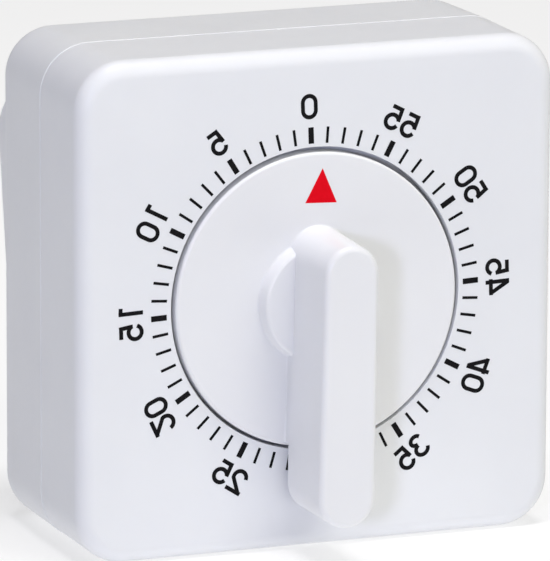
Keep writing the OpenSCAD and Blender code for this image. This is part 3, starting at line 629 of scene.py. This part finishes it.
def digit_strokes(digit):
    """Middle lines of a digit's strokes as (points, looped), upright round (0, 0)."""
    end = DIGIT_STROKE / 2
    x = DIGIT_W / 2 - end
    z = DIGIT_H / 2 - end
    if digit == "0":
        return [(arc(0, z - x, x, x, 0, 180) + arc(0, x - z, x, x, 180, 360), True)]
    if digit == "1":
        return [([(-0.8, z - 0.06), (0.0, z)], False), ([(0.06, z + end), (0.06, -z - end)], False)]
    if digit == "2":
        return [(arc(0, z - x, x, x, 172, -22) + [(0.1 - x, -z + 0.08)], False),
                ([(-x - end, -z), (x + end, -z)], False)]
    if digit == "3":
        upper, lower = 0.42 * z, 0.54 * z
        return [(arc(0, z - upper, 0.86 * x, upper, 165, -86), False),
                (arc(0, lower - z, x, lower, 84, -165), False)]
    if digit == "4":
        stem, bar = 0.62, -1.0
        return [([(stem, z + end), (stem, -z - end)], False), ([(stem - 0.1, z + end / 2), (-x, bar)], False),
                ([(-x - end, bar), (x + 0.1, bar)], False)]
    bowl = 0.96
    return [([(0.86, z), (-0.78, z)], False), ([(-0.6, z + end), (-0.84, -0.24)], False),
            (arc(0.02, bowl - z, bowl, bowl, 146, -161, 24), False)]


def scale_place(angle, upward, lean):
    """Turns flat label points into points of the row. A label leans by a small angle off its radius."""
    turn = math.radians(lean)
    er = Vector((math.cos(angle), math.sin(angle)))
    et = Vector((-math.sin(angle), math.cos(angle)))

    def place(p, h):
        x = p[0] * math.cos(turn) - p[1] * math.sin(turn)
        z = p[0] * math.sin(turn) + p[1] * math.cos(turn)
        out = er * (DIGIT_RADIUS + upward * z) + et * (upward * x + DIGIT_SHIFT)
        return (DIAL_X + out.x, FRONT_Y - h, DIAL_Z + out.y)

    return place


def minute_marks():
    vertices, faces = [], []
    for minute in range(60):
        angle = math.pi / 2 + SCALE_TURN + math.radians(6 * minute)
        width = TICK_THIN if minute % 5 else TICK_BOLD
        er = Vector((math.cos(angle), math.sin(angle)))
        ends = [tuple(er * (TICK_MIDDLE + s * TICK_LENGTH / 2)) for s in (-1, 1)]
        add_stroke(vertices, faces, ends, width, lambda p, h: (DIAL_X + p[0], FRONT_Y - h, DIAL_Z + p[1]))
    return mesh_object("minute_marks", vertices, faces)


def numerals():
    vertices, faces = [], []
    for minute in range(0, 60, 5):
        angle = math.pi / 2 + SCALE_TURN + math.radians(6 * minute)
        upward = -1 if 20 <= minute <= 40 else 1
        place = scale_place(angle, upward, LABEL_LEAN.get(minute, 0))
        label = str(minute)
        for i, digit in enumerate(label):
            middle = (i - (len(label) - 1) / 2) * DIGIT_PITCH
            for layer, (points, looped) in enumerate(digit_strokes(digit)):
                shifted = [(middle + x, z) for x, z in points]
                add_stroke(vertices, faces, shifted, DIGIT_STROKE, place, looped, layer)
    return mesh_object("numerals", vertices, faces)


def pointer():
    """Red triangle printed on the disc."""
    tip, base = Vector(POINTER_TIP), Vector(POINTER_BASE)
    along = (tip - base).normalized()
    across = Vector((along.y, -along.x)) * POINTER_HALF_W
    corners = [tip, base - across, base + across]
    rings = [turned([(p.x, DISC_PROUD + h, p.y) for p in corners]) for h in (-INK / 4, INK)]
    return loft("pointer_mark", rings)


# ---- the click's spring ------------------------------------------------------


def click_spring():
    """Bent leaf spring with its foot in the main wheel. Its free end bears on the click."""
    low, high = box_mm("click_spring")
    stud_low, stud_high = box_mm("click_stud")
    pivot = (stud_low + stud_high) / 2
    tip = Vector((low.x + LEAF_T / 2, low.z + LEAF_T / 2))
    bend = Vector((pivot.x - LEAF_REACH, high.z - LEAF_FOOT_R))
    foot = Vector((high.x - LEAF_FOOT_R, high.z - LEAF_FOOT_R))
    path = [tuple(tip + (bend - tip) * k / 10) for k in range(10)]
    path += [tuple(bend + (foot - bend) * k / 6) for k in range(7)]
    rings = [[(a.x, low.y, a.y), (a.x, low.y + LEAF_W, a.y), (b.x, low.y + LEAF_W, b.y), (b.x, low.y, b.y)]
             for a, b in stroke_sides(path, LEAF_T, False)]
    spring = loft("click_leaf_spring", rings)
    combine(spring, rod("foot", foot.x, foot.y, low.y, high.y, LEAF_FOOT_R), "UNION")
    smooth(spring)
    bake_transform(spring)
    return spring


# ---- materials ---------------------------------------------------------------


def new_material(name):
    material = bpy.data.materials.new(name)
    material.use_nodes = True
    tree = material.node_tree
    shader = next(n for n in tree.nodes if n.type == "BSDF_PRINCIPLED")
    return material, tree, shader


def noise(tree, scale, detail=4.0, roughness=0.55, stretch=(1, 1, 1)):
    """Noise over the object's own space, in features per metre."""
    coordinates = tree.nodes.new("ShaderNodeTexCoord")
    mapping = tree.nodes.new("ShaderNodeMapping")
    mapping.inputs["Scale"].default_value = stretch
    texture = tree.nodes.new("ShaderNodeTexNoise")
    texture.inputs["Scale"].default_value = scale
    texture.inputs["Detail"].default_value = detail
    texture.inputs["Roughness"].default_value = roughness
    tree.links.new(coordinates.outputs["Object"], mapping.inputs["Vector"])
    tree.links.new(mapping.outputs["Vector"], texture.inputs["Vector"])
    return texture.outputs["Fac"]


def ramp(tree, source, low, high, start=0.3, end=0.7):
    """Colours or values between low and high, by source."""
    node = tree.nodes.new("ShaderNodeValToRGB")
    node.color_ramp.elements[0].position = start
    node.color_ramp.elements[1].position = end
    node.color_ramp.elements[0].color = (*low, 1)
    node.color_ramp.elements[1].color = (*high, 1)
    tree.links.new(source, node.inputs["Fac"])
    return node.outputs["Color"]


def bump(tree, shader, heights, strength, distance):
    node = tree.nodes.new("ShaderNodeBump")
    node.inputs["Strength"].default_value = strength
    node.inputs["Distance"].default_value = distance
    tree.links.new(heights, node.inputs["Height"])
    tree.links.new(node.outputs["Normal"], shader.inputs["Normal"])


def plastic(name, light, dark, rough, grain, grain_depth, shine):
    """Moulded white plastic: faint cloudiness, a fine moulded grain and uneven gloss."""
    material, tree, shader = new_material(name)
    cloud = noise(tree, 60, 5)
    tree.links.new(ramp(tree, cloud, dark, light), shader.inputs["Base Color"])
    gloss = noise(tree, 900, 3)
    tree.links.new(ramp(tree, gloss, (rough - 0.04,) * 3, (rough + 0.05,) * 3), shader.inputs["Roughness"])
    bump(tree, shader, noise(tree, grain, 3, 0.6), 0.5, grain_depth)
    shader.inputs["Subsurface Weight"].default_value = 0.12
    shader.inputs["Subsurface Radius"].default_value = (1.0, 0.9, 0.8)
    shader.inputs["Subsurface Scale"].default_value = 0.0008
    shader.inputs["IOR"].default_value = 1.49
    shader.inputs["Specular IOR Level"].default_value = shine
    return material


def ink(name, colour, pale):
    """Pad-printed ink with slightly uneven cover."""
    material, tree, shader = new_material(name)
    tree.links.new(ramp(tree, noise(tree, 1400, 3), colour, pale), shader.inputs["Base Color"])
    tree.links.new(ramp(tree, noise(tree, 2600, 2), (0.5,) * 3, (0.66,) * 3), shader.inputs["Roughness"])
    bump(tree, shader, noise(tree, 5200, 2), 0.4, 0.000004)
    shader.inputs["Specular IOR Level"].default_value = 0.07
    return material


def metal(name, light, dark, rough, stretch, bump_depth):
    """Cut or rolled metal: fine tool marks along one direction, with tarnish in large soft patches."""
    material, tree, shader = new_material(name)
    tree.links.new(ramp(tree, noise(tree, 220, 5), dark, light), shader.inputs["Base Color"])
    marks = noise(tree, 1500, 4, 0.6, stretch)
    tree.links.new(ramp(tree, marks, (rough - 0.07,) * 3, (rough + 0.1,) * 3), shader.inputs["Roughness"])
    bump(tree, shader, marks, 0.35, bump_depth)
    shader.inputs["Metallic"].default_value = 1.0
    return material


def make_materials():
    return {
        "case_front": plastic("case_front_plastic",
                              (0.80, 0.81, 0.835), (0.775, 0.785, 0.815), 0.4, 5200, 0.00001, 0.28),
        "case_rear": plastic("case_rear_plastic",
                             (0.80, 0.81, 0.83), (0.77, 0.78, 0.805), 0.42, 5200, 0.000012, 0.28),
        "knob": plastic("knob_plastic",
                        (0.81, 0.815, 0.835), (0.79, 0.795, 0.82), 0.33, 5200, 0.000006, 0.45),
        "scale_ink": ink("scale_ink_black", (0.004, 0.004, 0.005), (0.010, 0.009, 0.010)),
        "pointer_ink": ink("pointer_ink_red", (0.72, 0.0, 0.008), (0.77, 0.001, 0.012)),
        "brass": metal("brass", (0.80, 0.61, 0.28), (0.62, 0.44, 0.18), 0.28, (1, 1, 0.12), 0.00001),
        "steel": metal("ground_steel", (0.62, 0.63, 0.64), (0.44, 0.45, 0.47), 0.24, (1, 0.1, 1), 0.000008),
        "plate": metal("plated_sheet", (0.66, 0.67, 0.68), (0.5, 0.51, 0.53), 0.34, (0.1, 1, 1), 0.00001),
        "spring": metal("blued_spring_steel",
                        (0.30, 0.33, 0.40), (0.16, 0.18, 0.23), 0.3, (1, 1, 0.1), 0.000006),
        "screw": metal("zinc_plated_screw",
                       (0.60, 0.61, 0.62), (0.40, 0.41, 0.43), 0.33, (1, 1, 1), 0.000012),
        "bell": metal("nickel_plated_bell",
                      (0.70, 0.69, 0.66), (0.55, 0.54, 0.52), 0.2, (0.3, 1, 0.3), 0.000006),
    }


def finish_piece(obj, body, slot, materials, replaces=None):
    """Gives a piece its material and body, and hides the part it replaces. A piece that spans two bodies gets
    no body here.
    """
    obj.data.materials.clear()
    obj.data.materials.append(materials[slot])
    if body:
        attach(obj, body)
    if replaces:
        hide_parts(replaces)


# ---- the object --------------------------------------------------------------

materials = make_materials()
finish_piece(front_shell(), "case", "case_front", materials, "front_housing")
finish_piece(rear_shell(), "case", "case_rear", materials, "rear_housing")
finish_piece(knob_piece(), "knob", "knob", materials, "knob")
finish_piece(minute_marks(), "case", "scale_ink", materials)
finish_piece(numerals(), "case", "scale_ink", materials)
finish_piece(pointer(), "knob", "pointer_ink", materials)
finish_piece(click_spring(), None, "spring", materials, "click_spring")

for part in frame["record"]["subparts"]:
    for place in frame["nodes"][part["node"]].material_slots:
        place.material = materials[part["material_slot"]]


# ---- stage, light and camera ---------------------------------------------------


def floor():
    half = 4000
    steps = 8
    edge = [-half + 2 * half * k / steps for k in range(steps + 1)]
    vertices = [(x, y, 0) for y in edge for x in edge]
    row = steps + 1
    faces = [(j * row + i, j * row + i + 1, (j + 1) * row + i + 1, (j + 1) * row + i)
             for j in range(steps) for i in range(steps)]
    obj = mesh_object("floor", vertices, faces)
    material, _, shader = new_material("pale_floor")
    shader.inputs["Base Color"].default_value = (0.4, 0.4, 0.4, 1)
    shader.inputs["Roughness"].default_value = 0.9
    shader.inputs["Specular IOR Level"].default_value = 0.1
    shader.inputs["Emission Color"].default_value = (1, 1, 1, 1)
    shader.inputs["Emission Strength"].default_value = 0.6
    obj.data.materials.append(material)


def softbox(name, azimuth, elevation, distance, width, height, power, colour):
    """Rectangular light that faces the object. Azimuth 0 is in front of the dial and 90 to its right."""
    middle = Vector((0, 0, CASE_H / 2 * MM))
    a, e = math.radians(azimuth), math.radians(elevation)
    away = Vector((math.sin(a) * math.cos(e), -math.cos(a) * math.cos(e), math.sin(e)))
    light = bpy.data.lights.new(name, "AREA")
    light.shape = "RECTANGLE"
    light.size = width
    light.size_y = height
    light.energy = power
    light.color = colour
    obj = bpy.data.objects.new(name, light)
    obj.location = middle + away * distance
    obj.rotation_euler = (-away).to_track_quat("-Z", "Y").to_euler()
    obj.visible_camera = False
    bpy.context.scene.collection.objects.link(obj)


def lights():
    softbox("key_light", 22, 36, 1.2, 1.0, 0.8, 5.5, (1.0, 0.99, 0.86))
    softbox("left_light", -34, 10, 1.2, 0.14, 0.14, 3.7, (0.7, 0.73, 1.0))
    softbox("top_light", 0, 83, 1.2, 0.6, 0.3, 11.3, (1.0, 0.985, 1.0))
    world = bpy.data.worlds.new("studio")
    world.use_nodes = True
    background = world.node_tree.nodes["Background"]
    background.inputs["Color"].default_value = (1.0, 1.0, 1.0, 1)
    background.inputs["Strength"].default_value = 0.02
    bpy.context.scene.world = world


def camera():
    """Long lens a little to the left of the dial and above it."""
    azimuth, elevation, roll = (math.radians(v) for v in CAMERA_ANGLES)
    target = Vector((CAMERA_X, FRONT_Y, CAMERA_Z)) * MM
    back = Vector((math.sin(azimuth) * math.cos(elevation), -math.cos(azimuth) * math.cos(elevation),
                   math.sin(elevation)))
    right = (-back).cross(Vector((0, 0, 1))).normalized()
    up = right.cross(-back)
    side = right * math.cos(roll) + up * math.sin(roll)
    top = up * math.cos(roll) - right * math.sin(roll)
    data = bpy.data.cameras.new("camera")
    data.sensor_width = CAMERA_SENSOR
    data.lens = CAMERA_LENS
    obj = bpy.data.objects.new("camera", data)
    turn = Matrix((side, top, back)).transposed().to_4x4()
    obj.matrix_world = Matrix.Translation(target + back * (CAMERA_DISTANCE * MM)) @ turn
    data.clip_start = 0.01
    data.clip_end = 20
    bpy.context.scene.collection.objects.link(obj)
    bpy.context.scene.camera = obj


floor()
lights()
camera()
bpy.context.scene.view_settings.view_transform = "Standard"
